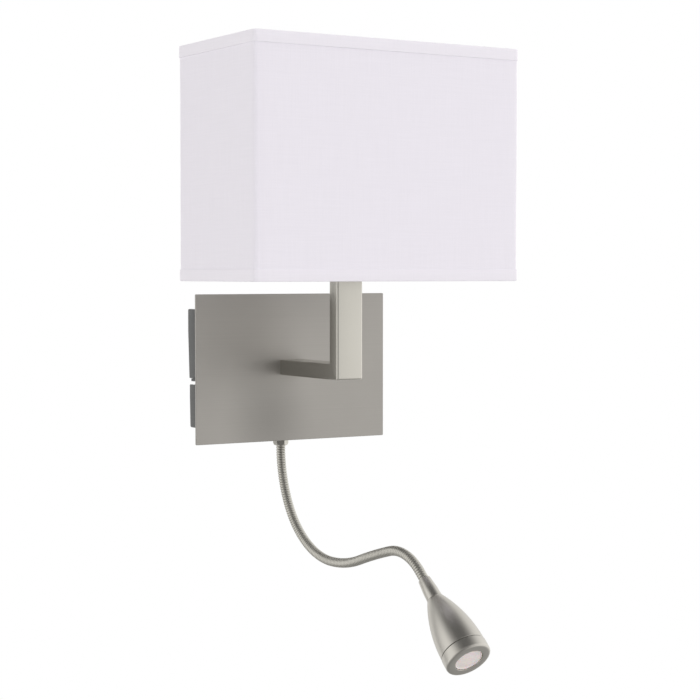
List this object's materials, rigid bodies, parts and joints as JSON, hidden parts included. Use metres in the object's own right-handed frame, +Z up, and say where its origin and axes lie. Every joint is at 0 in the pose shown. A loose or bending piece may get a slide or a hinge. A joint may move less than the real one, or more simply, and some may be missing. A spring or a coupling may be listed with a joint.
{
  "type": "wall light with reading arm",
  "caption": "Wall light: rectangular white fabric shade on an L-shaped arm and brushed plate, side rocker switches and an LED reading head on a gooseneck.",
  "frame": {"origin": "centre of the two wall-fixing holes, on the wall", "axes": "+Z up, +Y into the wall, +X to the right as seen from the room"},
  "size_m": [0.2342, 0.2947, 0.4588],
  "materials": {
    "plate_nickel": "satin nickel, brushed along the width",
    "arm_nickel": "satin nickel, smooth, half polished",
    "box_steel": "nickel-plated sheet steel, dull",
    "zinc_steel": "bright zinc plated steel",
    "brass": "turned brass",
    "holder_plastic": "white moulded thermoset",
    "lamp_cap": "rolled aluminium screw cap",
    "lamp_glass": "opal glass",
    "shade_fabric": "white cotton-look fabric on a stiff liner, fine plain weave",
    "shade_tape": "rolled self-coloured edging",
    "wire_white": "white powder coat",
    "neck_nickel": "satin nickel wound hose",
    "lead_sheath": "white sheath",
    "head_nickel": "satin nickel plate, turned and brushed round the axis",
    "lens_frost": "frosted lens, faintly pink",
    "optic_clear": "clear moulded optic",
    "chip_phosphor": "phosphor dome",
    "board_white": "white solder mask",
    "sink_aluminium": "turned",
    "switch_plastic": "dark grey, finely grained",
    "terminal_plastic": "natural nylon",
    "driver_plastic": "white moulded case",
    "grommet_rubber": "black rubber"
  },
  "bodies": {
    "root": {"arm_end_block": "zinc_steel", "arm_grub_screw": "zinc_steel", "arm_horizontal": "arm_nickel", "arm_lead": "lead_sheath", "arm_screws": "zinc_steel", "arm_top_cap": "arm_nickel", "arm_vertical": "arm_nickel", "back_box": "box_steel", "box_leads": "lead_sheath", "box_screws": "zinc_steel", "bulb_base": "lamp_cap", "bulb_glass": "lamp_glass", "cable_grommet": "grommet_rubber", "earth_screw": "zinc_steel", "earth_tag": "brass", "face_plate": "plate_nickel", "gland_lock_nut": "zinc_steel", "gland_nut": "neck_nickel", "gland_stem": "brass", "holder_contact": "brass", "holder_nipple": "brass", "lampholder_core": "holder_plastic", "lampholder_cup": "holder_plastic", "lampholder_sleeve": "holder_plastic", "led_driver": "driver_plastic", "plate_nuts": "zinc_steel", "rocker_pins": "zinc_steel", "shade_carrier": "wire_white", "shade_frames": "wire_white", "shade_hems": "shade_tape", "shade_panel": "shade_fabric", "shade_rings": "holder_plastic", "switch_blades": "brass", "switch_housing_main": "switch_plastic", "switch_housing_reading": "switch_plastic", "terminal_block": "terminal_plastic", "terminal_screws": "brass", "wall_bracket": "zinc_steel"},
    "neck_1": {"neck_segment_1": "neck_nickel", "neck_lead_1": "lead_sheath"},
    "neck_2": {"neck_segment_2": "neck_nickel", "neck_lead_2": "lead_sheath"},
    "neck_3": {"neck_segment_3": "neck_nickel", "neck_lead_3": "lead_sheath"},
    "neck_4": {"neck_segment_4": "neck_nickel", "neck_lead_4": "lead_sheath"},
    "neck_5": {"neck_segment_5": "neck_nickel", "neck_lead_5": "lead_sheath"},
    "reading_head": {"neck_segment_6": "neck_nickel", "neck_lead_6": "lead_sheath", "head_collar": "head_nickel", "head_shell": "head_nickel", "head_bezel": "head_nickel", "head_lens": "lens_frost", "head_optic": "optic_clear", "led_chip": "chip_phosphor", "led_board": "board_white", "head_heat_sink": "sink_aluminium"},
    "main_rocker": {"rocker_main": "switch_plastic"},
    "reading_rocker": {"rocker_reading": "switch_plastic"}
  },
  "joints": [
    {"name": "neck_swing", "type": "hinge", "parent": "root", "child": "neck_1", "pos_m": [0, -0.014, -0.0656], "axis": [0, 0, 1], "range_deg": [-75, 75]},
    {"name": "neck_lower_bend", "type": "hinge", "parent": "neck_1", "child": "neck_2", "pos_m": [0, -0.02396, -0.10806], "axis": [-1, 0, 0], "range_deg": [-14, 10]},
    {"name": "neck_lower_bend_2", "type": "hinge", "parent": "neck_2", "child": "neck_3", "pos_m": [0, -0.0534, -0.13996], "axis": [-1, 0, 0], "range_deg": [-14, 10]},
    {"name": "neck_lower_bend_3", "type": "hinge", "parent": "neck_3", "child": "neck_4", "pos_m": [0, -0.09526, -0.15169], "axis": [-1, 0, 0], "range_deg": [-14, 10]},
    {"name": "neck_upper_bend", "type": "hinge", "parent": "neck_4", "child": "neck_5", "pos_m": [0, -0.1385, -0.14472], "axis": [-1, 0, 0], "range_deg": [-15, 25]},
    {"name": "neck_upper_bend_2", "type": "hinge", "parent": "neck_5", "child": "reading_head", "pos_m": [0, -0.18071, -0.13234], "axis": [-1, 0, 0], "range_deg": [-15, 25]},
    {"name": "main_switch", "type": "hinge", "parent": "root", "child": "main_rocker", "pos_m": [-0.072, -0.017, 0.0187], "axis": [0, 1, 0], "range_deg": [0, 5]},
    {"name": "reading_switch", "type": "hinge", "parent": "root", "child": "reading_rocker", "pos_m": [-0.072, -0.017, -0.0306], "axis": [0, 1, 0], "range_deg": [0, 7]}
  ],
  "couplings": [
    {"joint": "neck_lower_bend_2", "follows": "neck_lower_bend", "ratio": 1},
    {"joint": "neck_lower_bend_3", "follows": "neck_lower_bend", "ratio": 1},
    {"joint": "neck_upper_bend_2", "follows": "neck_upper_bend", "ratio": 1}
  ]
}
